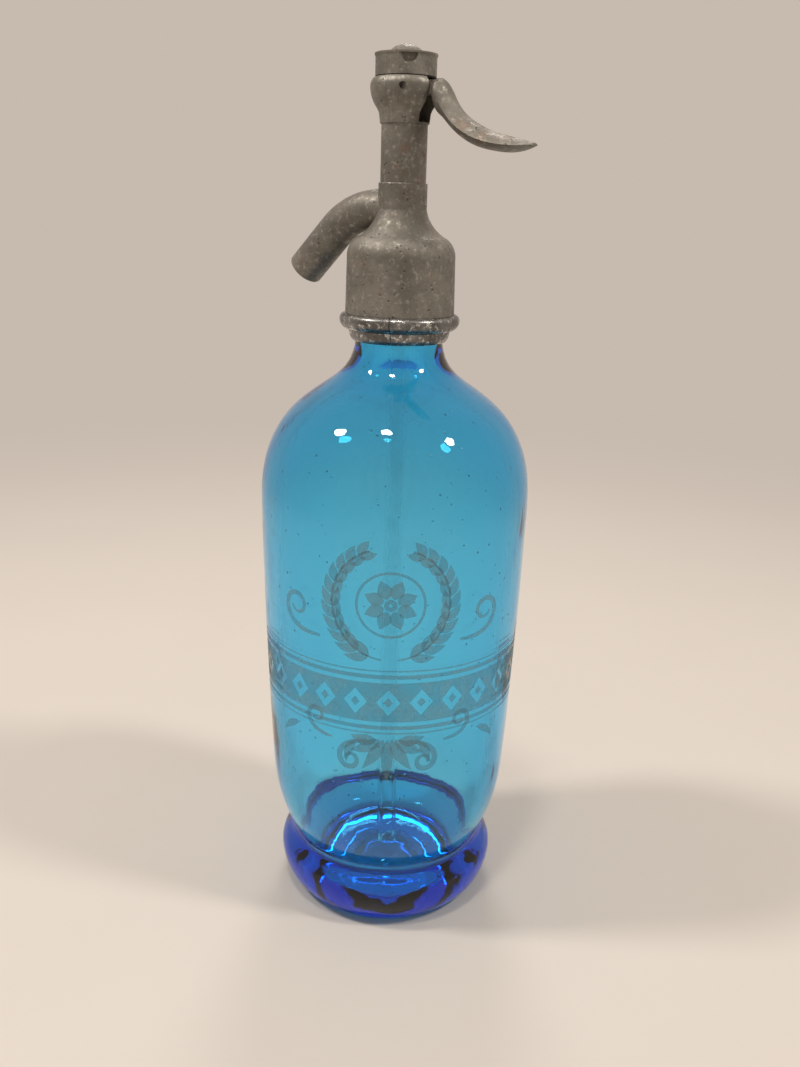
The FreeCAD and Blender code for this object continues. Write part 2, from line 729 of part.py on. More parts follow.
def build_spring():
    """The return spring between the piston's head and the washer in the cap."""
    wire = number("spring_wire")
    bottom = number("pivot_height + nose_radius + slide_gap + piston_crown") + wire / 2
    top = number("cap_roof - spring_washer") - wire / 2
    radius = number("piston_radius") - wire / 2
    helix = Part.makeHelix((top - bottom) / number("spring_turns"), top - bottom, radius)
    start = FreeCAD.Vector(radius, 0, 0)
    ring = Part.Wire([Part.Circle(start, FreeCAD.Vector(0, 1, 0), wire / 2).toShape()])
    spring = DOCUMENT.addObject("Part::Feature", "piston_spring")
    spring.Label = "piston_spring"
    spring.Shape = Part.Wire(helix.Edges).makePipeShell([ring], True, True)
    spring.Placement = FreeCAD.Placement(FreeCAD.Vector(0, 0, bottom), FreeCAD.Rotation())
    return spring


def build_tube():
    """The tube holder in the bottle's mouth, its gasket and the dip tube with a slanted foot."""
    stem_bottom = "glass_height + gasket_thickness - stem_length"
    socket_top = f"{stem_bottom} + tube_socket_depth"
    flange = "glass_height + gasket_thickness"
    holder = turned("tube_holder", [
        ("tube_radius + seat_gap", stem_bottom),
        ("stem_radius - 1", stem_bottom),
        ("stem_radius", f"{stem_bottom} + 1"),
        ("stem_radius", flange),
        ("collar_screw_radius - 0.2", flange),
        ("collar_screw_radius - 0.2", f"{flange} + holder_flange"),
        ("seat_bore", f"{flange} + holder_flange"),
        ("seat_bore", socket_top),
        ("tube_radius + seat_gap", socket_top),
    ])
    gasket = turned("tube_gasket", [
        ("tube_bore", f"{socket_top} - tube_gasket"),
        ("tube_radius", f"{socket_top} - tube_gasket"),
        ("tube_radius", socket_top),
        ("tube_bore", socket_top),
    ])
    tube = turned("dip_tube", [
        ("tube_bore", "tube_bottom"),
        ("tube_radius", "tube_bottom"),
        ("tube_radius", f"{socket_top} - tube_gasket"),
        ("tube_bore", f"{socket_top} - tube_gasket"),
    ])
    slant = new_sketch(tube, "slanted_foot")
    outline(slant, [
        ("-tube_radius - 0.1", "tube_bottom - 1"),
        ("tube_radius + 1", "tube_bottom - 1"),
        ("tube_radius + 1", "tube_bottom + tube_radius"),
    ])
    cut_through(tube, "slanted_foot_cut", slant, "tube_radius * 3", both_ways=True)
    return holder, gasket, tube


def build_parts():
    """Every sub-part of the siphon, from the foot up."""
    glass = build_glass()
    collar_front = build_collar("collar_half_front", "0")
    collar_back = build_collar("collar_half_back", "180")
    bell = build_bell()
    DOCUMENT.recompute()
    return [
        glass, collar_front, collar_back, bell, build_spout(bell), build_column(), *build_gland(),
        build_housing(), build_cap(), *build_washers(), build_lever(), build_pin(), build_piston(),
        *build_valve(), build_spring(), *build_tube(),
    ]


def write_parts(pieces):
    """Check the document and every sub-part, then write each one's solid."""
    DOCUMENT.recompute()
    for item in DOCUMENT.Objects:
        if "Invalid" in item.State or "Error" in item.State:
            raise RuntimeError(f"{item.Label} did not compute")
    os.makedirs("parts", exist_ok=True)
    for piece in pieces:
        if piece.Shape.isNull() or not piece.Shape.isValid() or not piece.Shape.Solids:
            raise RuntimeError(f"{piece.Label} has no valid solid")
        piece.Shape.exportStep(f"parts/{piece.Label}.step")
        print(f"{piece.Label}: {len(piece.Shape.Solids)} solid, {piece.Shape.Volume:.1f} mm3")


write_parts(build_parts())
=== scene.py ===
"""Soda siphon: the looks of a thick blue glass bottle under a dull pewter head.

Everything is in metres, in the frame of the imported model: +Z up, the foot on the table at z = 0, the lever along
+X and the spout along -X.
"""

import logging
import math
from dataclasses import dataclass, field
from enum import Enum
from typing import Iterable, Sequence, Union

import bmesh
import bpy
from mathutils import Matrix, Vector


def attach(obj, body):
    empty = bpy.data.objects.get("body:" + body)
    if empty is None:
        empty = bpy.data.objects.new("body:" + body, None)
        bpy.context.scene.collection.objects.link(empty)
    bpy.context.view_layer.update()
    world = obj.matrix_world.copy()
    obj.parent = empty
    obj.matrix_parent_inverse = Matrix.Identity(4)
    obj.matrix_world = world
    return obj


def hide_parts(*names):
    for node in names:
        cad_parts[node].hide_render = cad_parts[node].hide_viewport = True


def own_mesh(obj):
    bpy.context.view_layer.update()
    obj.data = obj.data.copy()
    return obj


LOG = logging.getLogger("soda_siphon")
MM = 0.001
Colour = tuple[float, float, float]
Corner = tuple[float, ...]
Socket = bpy.types.NodeSocket
Feed = Union[Socket, float, str, Colour]


class Wear(Enum):
    """How worn a metal finish is."""

    DULL = "dull"
    RUBBED = "rubbed"


class Graph:
    """A small helper that adds and links the nodes of one material."""

    def __init__(self, name: str) -> None:
        """Start an empty node tree.

        Args:
            name: The material's name.
        """
        self.material = bpy.data.materials.new(name)
        self.material.use_nodes = True
        self.tree = self.material.node_tree
        self.tree.nodes.clear()
        self.output = self.node("ShaderNodeOutputMaterial")
        self.coordinates = self.node("ShaderNodeTexCoord").outputs["Object"]

    def node(self, kind: str, **settings: Feed) -> bpy.types.Node:
        """Add a node.

        Args:
            kind: The node's type.
            **settings: Properties of the node, or default values of its sockets by name.

        Returns:
            The new node.
        """
        made = self.tree.nodes.new(kind)
        for key, value in settings.items():
            if hasattr(made, key):
                setattr(made, key, value)
            else:
                self.feed(made.inputs[key.replace("_", " ")], value)
        return made

    def feed(self, socket: Socket, value: Feed) -> None:
        """Link an output to a socket, or set the socket's own value.

        Args:
            socket: The input to fill.
            value: An output socket, a number or a colour.
        """
        if isinstance(value, Socket):
            self.tree.links.new(value, socket)
        elif isinstance(value, tuple) and len(value) == 3 and socket.type == "RGBA":
            socket.default_value = (*value, 1.0)
        else:
            socket.default_value = value

    def maths(self, operation: str, first: Feed, second: Feed) -> Socket:
        """A sum, product or comparison of two values.

        Args:
            operation: Blender's name of the operation.
            first: A value or socket.
            second: A value or socket.

        Returns:
            The result's socket.
        """
        made = self.node("ShaderNodeMath", operation=operation)
        for socket, value in zip(made.inputs, (first, second)):
            self.feed(socket, value)
        return made.outputs[0]

    def noise(self, scale: float, detail: float = 4.0, roughness: float = 0.55,
              where: Union[Socket, None] = None) -> Socket:
        """A noise pattern on the object's own coordinates.

        Args:
            scale: Waves per metre.
            detail: How many finer waves are added.
            roughness: How strong the finer waves are.
            where: Other coordinates than the object's.

        Returns:
            The pattern's value socket.
        """
        made = self.node("ShaderNodeTexNoise")
        made.inputs["Scale"].default_value = scale
        made.inputs["Detail"].default_value = detail
        made.inputs["Roughness"].default_value = roughness
        self.feed(made.inputs["Vector"], where or self.coordinates)
        return made.outputs["Fac"]

    def ramp(self, value: Feed, low: float, high: float, start: float = 0.0, end: float = 1.0) -> Socket:
        """A smooth step between two levels of a value.

        Args:
            value: The value to map.
            low: Where the step starts.
            high: Where the step ends.
            start: The result at the low level.
            end: The result at the high level.

        Returns:
            The mapped value's socket.
        """
        made = self.node("ShaderNodeMapRange", interpolation_type="SMOOTHSTEP")
        for socket, setting in zip(made.inputs, (value, low, high, start, end)):
            self.feed(socket, setting)
        return made.outputs[0]

    def blend(self, share: Feed, first: Feed, second: Feed) -> Socket:
        """A mix of two colours.

        Args:
            share: How much of the second colour there is.
            first: A colour or socket.
            second: A colour or socket.

        Returns:
            The mixed colour's socket.
        """
        made = self.node("ShaderNodeMix", data_type="RGBA")
        self.feed(made.inputs["Factor"], share)
        self.feed(made.inputs["A"], first)
        self.feed(made.inputs["B"], second)
        return made.outputs["Result"]

    def bump(self, height: Socket, depth: float, strength: float = 1.0,
             under: Union[Socket, None] = None) -> Socket:
        """A surface relief.

        Args:
            height: The relief's height, 0 to 1.
            depth: Its depth in metres.
            strength: How strongly it shows.
            under: A relief that this one lies on.

        Returns:
            The normal's socket.
        """
        made = self.node("ShaderNodeBump")
        made.inputs["Strength"].default_value = strength
        made.inputs["Distance"].default_value = depth
        self.feed(made.inputs["Height"], height)
        if under:
            self.feed(made.inputs["Normal"], under)
        return made.outputs["Normal"]

    def cells(self, scale: float) -> Socket:
        """The distance to the nearest of many scattered points.

        Args:
            scale: Points per metre.

        Returns:
            The distance's socket.
        """
        made = self.node("ShaderNodeTexVoronoi", feature="F1")
        made.inputs["Scale"].default_value = scale
        self.feed(made.inputs["Vector"], self.coordinates)
        return made.outputs["Distance"]

    def drawn_out(self, scale: Colour) -> Socket:
        """The object's coordinates with a scale for each axis, for streaks along an axis.

        Args:
            scale: The scale along X, Y and Z.

        Returns:
            The coordinates' socket.
        """
        made = self.node("ShaderNodeMapping")
        self.feed(made.inputs["Vector"], self.coordinates)
        made.inputs["Scale"].default_value = scale
        return made.outputs["Vector"]

    def surface(self, shader: bpy.types.Node) -> None:
        """Link a shader to the material's surface.

        Args:
            shader: The shader node.
        """
        self.tree.links.new(shader.outputs[0], self.output.inputs["Surface"])


@dataclass(frozen=True)
class CastMetal:
    """Old cast pewter or tin: mottled grey with warm tarnish, pits and rubbed bright spots."""

    name: str
    base: Colour
    dark: Colour
    warm: Colour
    bright: Colour
    wear: Wear = Wear.DULL
    pits: float = 1.0
    pit_black: Colour = (0.05, 0.042, 0.034)
    cloud_scale: float = 55.0
    patch_scale: float = 190.0
    tarnish_scale: float = 42.0
    freckle_scale: float = 1050.0
    grain_scale: float = 2600.0
    streak_scale: float = 480.0
    pit_scale: float = 520.0
    pit_field_scale: float = 170.0
    dent_scale: float = 85.0

    def material(self) -> bpy.types.Material:
        """Build the material."""
        graph = Graph(self.name)
        is_rubbed = self.wear is Wear.RUBBED
        clouds = graph.noise(self.cloud_scale, 6.0, 0.65)
        patches = graph.noise(self.patch_scale, 5.0, 0.65)
        tarnish = graph.noise(self.tarnish_scale, 2.0)
        freckles = graph.noise(self.freckle_scale, 3.0, 0.6)
        grain = graph.noise(self.grain_scale, 2.0, 0.6)
        streaks = graph.noise(self.streak_scale, 5.0, 0.7)
        colour = graph.blend(graph.ramp(clouds, 0.36, 0.64, 0.0, 0.75), self.base, self.dark)
        rust = graph.maths("MULTIPLY", graph.ramp(patches, 0.5, 0.7), graph.ramp(tarnish, 0.48, 0.6))
        colour = graph.blend(graph.maths("MULTIPLY", rust, 0.55), colour, self.warm)
        rubbed = graph.ramp(streaks, 0.53, 0.66, 0.0, 0.8 if is_rubbed else 0.4)
        colour = graph.blend(rubbed, colour, self.bright)
        colour = graph.blend(graph.ramp(freckles, 0.56, 0.68, 0.0, 0.45), colour, self.dark)
        sparse = graph.ramp(graph.noise(self.pit_field_scale, 2.0), 0.5, 0.62)
        pit = graph.maths("MULTIPLY", graph.ramp(graph.cells(self.pit_scale), 0.14, 0.3, 1.0, 0.0), sparse)
        pit = graph.maths("MULTIPLY", pit, self.pits)
        colour = graph.blend(graph.maths("MULTIPLY", pit, 0.7), colour, self.pit_black)
        gloss = graph.ramp(streaks, 0.35, 0.7, *((0.38, 0.16) if is_rubbed else (0.66, 0.42)))
        height = graph.maths("SUBTRACT", graph.maths("MULTIPLY", grain, 0.3), pit)
        relief = graph.bump(graph.noise(self.dent_scale, 3.0), 0.0006, 0.4)
        relief = graph.bump(freckles, 0.00008, 0.5, relief)
        relief = graph.bump(height, 0.0002, 0.7, relief)
        shader = graph.node("ShaderNodeBsdfPrincipled", Metallic=0.9 if is_rubbed else 0.7)
        graph.feed(shader.inputs["Base Color"], colour)
        graph.feed(shader.inputs["Roughness"], gloss)
        graph.feed(shader.inputs["Normal"], relief)
        graph.surface(shader)
        return graph.material


@dataclass(frozen=True)
class TurnedMetal:
    """Machined brass or steel with fine turning marks round the axis."""

    name: str
    base: Colour
    shade: Colour
    roughness: float
    mark_scale: float = 6000.0
    stain_scale: float = 300.0

    def material(self) -> bpy.types.Material:
        """Build the material."""
        graph = Graph(self.name)
        marks = graph.noise(self.mark_scale, 2.0, 0.5, graph.drawn_out((0.02, 0.02, 1.0)))
        stain = graph.noise(self.stain_scale)
        colour = graph.blend(graph.ramp(stain, 0.4, 0.7), self.base, self.shade)
        shader = graph.node("ShaderNodeBsdfPrincipled", Metallic=1.0)
        graph.feed(shader.inputs["Base Color"], colour)
        graph.feed(shader.inputs["Roughness"], graph.ramp(marks, 0.3, 0.7, self.roughness, self.roughness + 0.15))
        graph.feed(shader.inputs["Normal"], graph.bump(marks, 0.00004, 0.5))
        graph.surface(shader)
        return graph.material


@dataclass(frozen=True)
class AgedRubber:
    """Old rubber or fibre: dark, dry and slightly mottled."""

    name: str
    base: Colour
    faded: Colour
    bloom_scale: float = 500.0

    def material(self) -> bpy.types.Material:
        """Build the material."""
        graph = Graph(self.name)
        bloom = graph.noise(self.bloom_scale, 5.0)
        shader = graph.node("ShaderNodeBsdfPrincipled", Roughness=0.75)
        graph.feed(shader.inputs["Base Color"], graph.blend(graph.ramp(bloom, 0.4, 0.7), self.base, self.faded))
        graph.feed(shader.inputs["Normal"], graph.bump(bloom, 0.0001, 0.5))
        graph.surface(shader)
        return graph.material


@dataclass(frozen=True)
class BlueGlass:
    """Thick blue bottle glass: clear, a little wavy, with colour that deepens with its thickness and fine seeds."""

    name: str = "blue_glass"
    skin: Colour = (0.95, 0.955, 1.0)
    seed: Colour = (0.22, 0.34, 0.42)
    absorption: Colour = (0.02, 0.83, 0.985)
    density: float = 215.0
    refraction: float = 1.5
    shine: float = 0.12
    streak_scale: float = 95.0
    wave_scale: float = 24.0
    seed_scale: float = 250.0
    seed_field_scale: float = 130.0

    def material(self) -> bpy.types.Material:
        """Build the material."""
        graph = Graph(self.name)
        streaks = graph.noise(self.streak_scale, 3.0, 0.5, graph.drawn_out((1.0, 1.0, 0.22)))
        waves = graph.noise(self.wave_scale, 2.0, 0.4)
        chosen = graph.ramp(graph.noise(self.seed_field_scale, 1.0), 0.5, 0.56)
        seed = graph.maths("MULTIPLY", graph.ramp(graph.cells(self.seed_scale), 0.06, 0.12, 1.0, 0.0), chosen)
        relief = graph.bump(waves, 0.0018, 0.55)
        relief = graph.bump(streaks, 0.0004, 0.4, relief)
        relief = graph.bump(seed, 0.00015, 0.8, relief)
        shader = graph.node("ShaderNodeBsdfPrincipled", Roughness=0.0, IOR=self.refraction)
        shader.inputs["Transmission Weight"].default_value = 1.0
        shader.inputs["Specular IOR Level"].default_value = self.shine
        graph.feed(shader.inputs["Base Color"], graph.blend(seed, self.skin, self.seed))
        graph.feed(shader.inputs["Normal"], relief)
        graph.surface(shader)
        body = graph.node("ShaderNodeVolumeAbsorption")
        body.inputs["Color"].default_value = (*self.absorption, 1.0)
        body.inputs["Density"].default_value = self.density
        graph.tree.links.new(body.outputs[0], graph.output.inputs["Volume"])
        return graph.material


@dataclass(frozen=True)
class EtchedGlass:
    """The matt grey-blue frost that acid leaves on the glass."""

    name: str = "etched_frost"
    light: Colour = (0.155, 0.27, 0.32)
    dark: Colour = (0.095, 0.19, 0.245)
    cover: float = 0.55
    cover_swing: float = 0.1
    cloud_scale: float = 120.0

    def material(self) -> bpy.types.Material:
        """Build the material."""
        graph = Graph(self.name)
        cloud = graph.noise(self.cloud_scale, 4.0, 0.6)
        shader = graph.node("ShaderNodeBsdfPrincipled", Roughness=0.9)
        graph.feed(shader.inputs["Base Color"], graph.blend(graph.ramp(cloud, 0.4, 0.65), self.light, self.dark))
        thick, thin = self.cover + self.cover_swing, self.cover - self.cover_swing
        graph.feed(shader.inputs["Alpha"], graph.ramp(cloud, 0.3, 0.7, thick, thin))
        graph.surface(shader)
        return graph.material


@dataclass(frozen=True)
class ClearGlass:
    """The dip tube's plain glass with a faint haze of lime."""

    name: str = "tube_glass"
    clean: Colour = (0.97, 0.99, 1.0)
    limed: Colour = (0.88, 0.93, 0.94)
    refraction: float = 1.18
    haze_scale: float = 200.0

    def material(self) -> bpy.types.Material:
        """Build the material."""
        graph = Graph(self.name)
        haze = graph.noise(self.haze_scale)
        shader = graph.node("ShaderNodeBsdfPrincipled", IOR=self.refraction)
        shader.inputs["Transmission Weight"].default_value = 1.0
        graph.feed(shader.inputs["Base Color"], graph.blend(graph.ramp(haze, 0.3, 0.8), self.clean, self.limed))
        graph.feed(shader.inputs["Roughness"], graph.ramp(haze, 0.4, 0.8, 0.02, 0.15))
        graph.surface(shader)
        return graph.material


PEWTER = CastMetal("pewter", (0.25, 0.233, 0.20), (0.13, 0.118, 0.097), (0.21, 0.122, 0.083), (0.50, 0.475, 0.43))
TIN = CastMetal("bright_tin", (0.27, 0.266, 0.256), (0.055, 0.052, 0.047), (0.34, 0.22, 0.17), (0.80, 0.78, 0.74),
                Wear.RUBBED, 0.8)
BRASS = TurnedMetal("turned_brass", (0.60, 0.44, 0.18), (0.36, 0.26, 0.12), 0.28)
STEEL = TurnedMetal("drawn_steel", (0.50, 0.50, 0.51), (0.30, 0.29, 0.28), 0.25)
DARK_STEEL = TurnedMetal("dark_steel", (0.13, 0.12, 0.11), (0.07, 0.06, 0.055), 0.45)
RUBBER = AgedRubber("aged_rubber", (0.035, 0.03, 0.028), (0.09, 0.075, 0.065))


def arc_points(start: Vector, via: Vector, end: Vector, steps: int) -> list[Vector]:
    """Points along the arc from start through via to end.

    Args:
        start: The arc's first point, which is left out of the result.
        via: A point on the arc.
        end: The arc's last point.
        steps: How many points to give.

    Returns:
        The points after start, the last one at end.
    """
    across = end - start
    up = via - start
    normal = across.cross(up).normalized()
    first, second = start + up / 2, start + across / 2
    run, rise = up.cross(normal), across.cross(normal)
    offset = second - first
    share = offset.cross(rise).dot(normal) / run.cross(rise).dot(normal)
    centre = first + run * share
    spoke = start - centre
    turn = spoke.angle(via - centre) + (via - centre).angle(end - centre)
    sense = 1.0 if spoke.cross(via - centre).dot(normal) > 0 else -1.0
    return [centre + Matrix.Rotation(sense * turn * step / steps, 3, normal) @ spoke for step in range(1, steps + 1)]


def half_section(corners: Sequence[Corner], steps: int = 12) -> list[Vector]:
    """The points of a half section in the XZ plane.

    Args:
        corners: (r, z) or (r, z, via r, via z) in millimetres; a via point makes the run up to its corner an arc.
        steps: How many points each arc gets.

    Returns:
        The points in metres.
    """
    points: list[Vector] = []
    for corner in corners:
        point = Vector((corner[0], 0.0, corner[1])) * MM
        if len(corner) == 4:
            points += arc_points(points[-1], Vector((corner[2], 0.0, corner[3])) * MM, point, steps)
        else:
            points.append(point)
    return points


def eased(points: Sequence[Vector], spacing: float, passes: int, sharp: float = 0.6) -> list[Vector]:
    """Resample a line evenly and smooth its blunt corners, as blown glass has, but keep its sharp ones.

    Args:
        points: The line's points.
        spacing: The distance between the new points, in metres.
        passes: How often each point moves towards its neighbours' middle.
        sharp: The turn in radians from which a corner is kept.

    Returns:
        The new points.
    """
    even: list[Vector] = [points[0].copy()]
    held = {0}
    for index in range(1, len(points)):
        start, end = points[index - 1], points[index]
        count = max(1, round((end - start).length / spacing))
        even += [start.lerp(end, step / count) for step in range(1, count + 1)]
        last = index == len(points) - 1
        if last or (end - start).angle(points[index + 1] - end, 0.0) > sharp:
            held.add(len(even) - 1)
    for _ in range(passes):
        moved = [point.copy() for point in even]
        for index in range(1, len(even) - 1):
            if index not in held:
                moved[index] = even[index] * 0.5 + (even[index - 1] + even[index + 1]) * 0.25
        even = moved
    return even


def new_piece(name: str, mesh: bmesh.types.BMesh, material: bpy.types.Material, body: str) -> bpy.types.Object:
    """Turn a bmesh into a piece of the model.

    Args:
        name: The piece's name.
        mesh: The bmesh, which is freed.
        material: The piece's material.
        body: The body that it rides on.

    Returns:
        The new object.
    """
    data = bpy.data.meshes.new(name)
    mesh.to_mesh(data)
    mesh.free()
    data.materials.append(material)
    data.shade_smooth()
    piece = bpy.data.objects.new(name, data)
    bpy.context.scene.collection.objects.link(piece)
    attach(piece, body)
    LOG.info("%s: %d faces", name, len(data.polygons))
    return piece


def spun(points: Iterable[Vector], steps: int, closed: bool) -> bmesh.types.BMesh:
    """Spin a half section about the Z axis.

    Args:
        points: The half section's points.
        steps: How many copies the spin has.
        closed: Whether the last point joins the first.

    Returns:
        The spun mesh.
    """
    mesh = bmesh.new()
    corners = [mesh.verts.new(point) for point in points]
    pairs = list(zip(corners, corners[1:])) + ([(corners[-1], corners[0])] if closed else [])
    edges = [mesh.edges.new(pair) for pair in pairs]
    bmesh.ops.spin(mesh, geom=corners + edges, cent=(0, 0, 0), axis=(0, 0, 1), angle=math.tau, steps=steps,
                   use_merge=True, use_duplicate=False)
    bmesh.ops.remove_doubles(mesh, verts=mesh.verts, dist=1e-7)
    bmesh.ops.recalc_face_normals(mesh, faces=mesh.faces)
    return mesh


def dress(node: str, material: bpy.types.Material) -> None:
    """Give a CAD node its material.

    Args:
        node: The node's name.
        material: The finish for all its slots.
    """
    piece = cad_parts[node]
    mesh = piece.data
    if not mesh.materials:
        mesh.materials.append(material)
    for slot in piece.material_slots:
        slot.material = material
    LOG.info("%s: dressed", node)


@dataclass
class Bottle:
    """The glass bottle and its dip tube. Sizes are in millimetres, as measured on the real outline."""

    rest_radius: float = 36.9
    kick_radius: float = 33.0
    kick_height: float = 6.0
    bulge: tuple[float, float] = (44.8, 15.0)
    waist: tuple[float, float] = (39.3, 26.0)
    belly_low: tuple[float, float] = (48.0, 58.0)
    belly_top: tuple[float, float] = (51.7, 168.0)
    shoulder: tuple[float, float] = (41.2, 203.0)
    neck_foot: tuple[float, float] = (26.5, 213.6)
    neck_low: tuple[float, float] = (16.1, 227.0)
    neck_radius: float = 15.3
    lip_radius: float = 16.6
    lip_depth: float = 7.0
    height: float = 250.5
    wall: float = 5.5
    floor: float = 12.0
    neck_bore: float = 9.6
    spin_steps: int = 128
    arc_steps: int = 16
    resample: float = 1.7
    smoothing: int = 24
    profile: list[Vector] = field(default_factory=list)

    def section(self) -> list[Corner]:
        """The half section from the middle of the kick, round the outside and the inside, to the floor."""
        bulge_r, bulge_z = self.bulge
        waist_r, waist_z = self.waist
        low_r, low_z = self.belly_low
        top_r, top_z = self.belly_top
        shoulder_r, shoulder_z = self.shoulder
        foot_r, foot_z = self.neck_foot
        neck_r, neck_z = self.neck_low
        middle_z = (low_z + top_z) / 2
        wall = self.wall
        return [
            (0.0, self.kick_height),
            (self.kick_radius, 0.0, self.kick_radius * 0.55, self.kick_height * 0.7),
            (self.rest_radius, 0.0),
            (bulge_r, bulge_z, bulge_r - 2.1, bulge_z * 0.44),
            (waist_r + 1.7, waist_z - 3.6, bulge_r - 0.8, bulge_z + 4.4),
            (waist_r + 1.7, waist_z + 3.6, waist_r, waist_z),
            (low_r, low_z, low_r - 2.2, low_z - 16),
            (top_r, top_z, top_r - 1.3, middle_z),
            (shoulder_r, shoulder_z, top_r - 1.8, top_z + 19.4),
            (foot_r, foot_z),
            (neck_r, neck_z, neck_r + 3.2, foot_z + 5.6),
            (self.neck_radius, neck_z + 9),
            (self.neck_radius, self.height - self.lip_depth),
            (self.lip_radius, self.height - self.lip_depth),
            (self.lip_radius, self.height),
            (self.neck_bore, self.height),
            (self.neck_bore, neck_z - 2),
            (foot_r - wall + 1, foot_z - 4.8, self.neck_bore + 3, foot_z + 1.2),
            (shoulder_r - wall + 1, shoulder_z - 5),
            (top_r - wall, top_z - 1, top_r - wall - 1.9, top_z + 16),
            (low_r - wall, low_z, top_r - wall - 1.3, middle_z),
            (waist_r - wall, self.floor + 12, low_r - wall - 3, low_z - 19),
            (waist_r - wall - 12, self.floor, waist_r - wall - 3, self.floor + 4),
            (0.0, self.floor),
        ]

    def build(self) -> None:
        """Make the glass and dress the dip tube."""
        self.profile = eased(half_section(self.section(), self.arc_steps), self.resample * MM, self.smoothing)
        mesh = spun(self.profile, self.spin_steps, closed=False)
        glass = new_piece("bottle_glass", mesh, BlueGlass().material(), "root")
        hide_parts("glass_bottle")
        dress("dip_tube", ClearGlass().material())
        Etching(self).build()


@dataclass
class Etching:
    """The etched ornament: a rosette in a wreath over a band of lozenges, with a fan of leaves hung below.

    Places are (across, up) in millimetres: across runs round the bottle from the middle of the ornament, and up is
    the height above the table.
    """

    bottle: "Bottle"
    middle: float = -57.0
    lift: float = 0.05
    girth: float = 50.6
    fine: float = 1.3
    band_bottom: float = 96.0
    band_top: float = 112.0
    band_reach: float = 68.0
    lozenges: int = 11
    lozenge_heart: float = 0.38
    edge_lines: tuple[tuple[float, float], ...] = ((2.4, 1.6), (4.8, 0.6))
    line_steps: int = 60
    leaf_steps: int = 10
    curl_steps: int = 28
    ring_steps: int = 40
    wreath_middle: float = 142.5
    wreath_radius: float = 21.5
    rosette_radius: float = 10.0
    petals: int = 8
    petal_root: float = 2.6
    stem_steps: int = 24

    def __post_init__(self) -> None:
        """Open the ornament's mesh and note the outside of the glass."""
        self.mesh = bmesh.new()
        low, high = self.bottle.belly_low[1] * MM, self.bottle.belly_top[1] * MM
        outside = self.bottle.profile[:len(self.bottle.profile) // 2]
        self.outside = [point for point in outside if low - 0.01 < point.z < high + 0.01 and point.x > 0.046]

    def on_glass(self, across: float, up: float) -> Vector:
        """A place just over the glass.

        Args:
            across: Millimetres round the bottle from the ornament's middle.
            up: Millimetres above the table.

        Returns:
            The place in metres.
        """
        height = up * MM
        after = next((i for i, point in enumerate(self.outside) if point.z >= height), len(self.outside) - 1)
        below, above = self.outside[max(after - 1, 0)], self.outside[after]
        run = above.z - below.z
        share = min(max((height - below.z) / run, 0.0), 1.0) if run > 1e-9 else 0.0
        radius = below.x + (above.x - below.x) * share + self.lift * MM
        angle = math.radians(self.middle) + across / self.girth
        return Vector((radius * math.cos(angle), radius * math.sin(angle), height))

    def patch(self, first: Vector, second: Vector, third: Vector, fourth: Vector) -> None:
        """Lay a four-sided patch of frost on the glass.

        Args:
            first: A corner, as (across, up).
            second: The next corner round.
            third: The corner after it.
            fourth: The last corner.
        """
        wide = max(1, math.ceil(max((second - first).length, (third - fourth).length) / self.fine))
        tall = max(1, math.ceil(max((fourth - first).length, (third - second).length) / self.fine))
        grid = [[self.mesh.verts.new(self.on_glass(*first.lerp(second, i / wide).lerp(
            fourth.lerp(third, i / wide), j / tall))) for i in range(wide + 1)] for j in range(tall + 1)]
        for low, high in zip(grid, grid[1:]):
            for i in range(wide):
                self.mesh.faces.new((low[i], low[i + 1], high[i + 1], high[i]))

    def stroke(self, line: Sequence[Vector], width: float, taper: float = 0.0) -> None:
        """Draw a line of frost.

        Args:
            line: The line's points, as (across, up).
            width: Its greatest width in millimetres.
            taper: 0 for an even line, 1 for one that is pointed at both ends, as a leaf is.
        """
        edges: list[tuple[Vector, Vector]] = []
        for index, point in enumerate(line):
            ahead = line[min(index + 1, len(line) - 1)] - line[max(index - 1, 0)]
            side = Vector((-ahead.y, ahead.x)).normalized()
            along = index / (len(line) - 1)
            half = width / 2 * (1 - taper + taper * max(0.04, math.sin(math.pi * along ** 0.8)))
            edges.append((point - side * half, point + side * half))
        for (near, far), (next_near, next_far) in zip(edges, edges[1:]):
            self.patch(near, next_near, next_far, far)

    @staticmethod
    def heading(degrees: float) -> Vector:
        """The unit step in a direction.

        Args:
            degrees: The direction, in degrees from straight across.

        Returns:
            The step, as (across, up).
        """
        angle = math.radians(degrees)
        return Vector((math.cos(angle), math.sin(angle)))

    @staticmethod
    def handed(degrees: float, side: int) -> float:
        """A direction, mirrored for the ornament's left side.

        Args:
            degrees: The direction on the right side, in degrees.
            side: 1 for the right side, -1 for the left.

        Returns:
            The direction in degrees.
        """
        return degrees if side > 0 else 180 - degrees

    def leaf(self, root: Vector, heading: float, length: float, bend: float, width: float) -> None:
        """Draw one leaf.

        Args:
            root: Where it starts.
            heading: Its direction in degrees from straight across.
            length: Its length in millimetres.
            bend: How many degrees it curls on the way.
            width: Its width in millimetres.
        """
        line = [root.copy()]
        for step in range(self.leaf_steps):
            line.append(line[-1] + self.heading(heading + bend * step / (self.leaf_steps - 1)) * length
                        / self.leaf_steps)
        self.stroke(line, width, 1.0)

    def curl(self, root: Vector, heading: float, length: float, turn: float, width: float) -> None:
        """Draw a tendril that winds tighter towards its end.

        Args:
            root: Where it starts.
            heading: Its direction in degrees at the start.
            length: Its length in millimetres.
            turn: How many degrees it winds in all.
            width: Its width in millimetres.
        """
        line = [root.copy()]
        for step in range(self.curl_steps):
            line.append(line[-1] + self.heading(heading + turn * (step / (self.curl_steps - 1)) ** 2) * length
                        / self.curl_steps)
        self.stroke(line, width, 0.55)

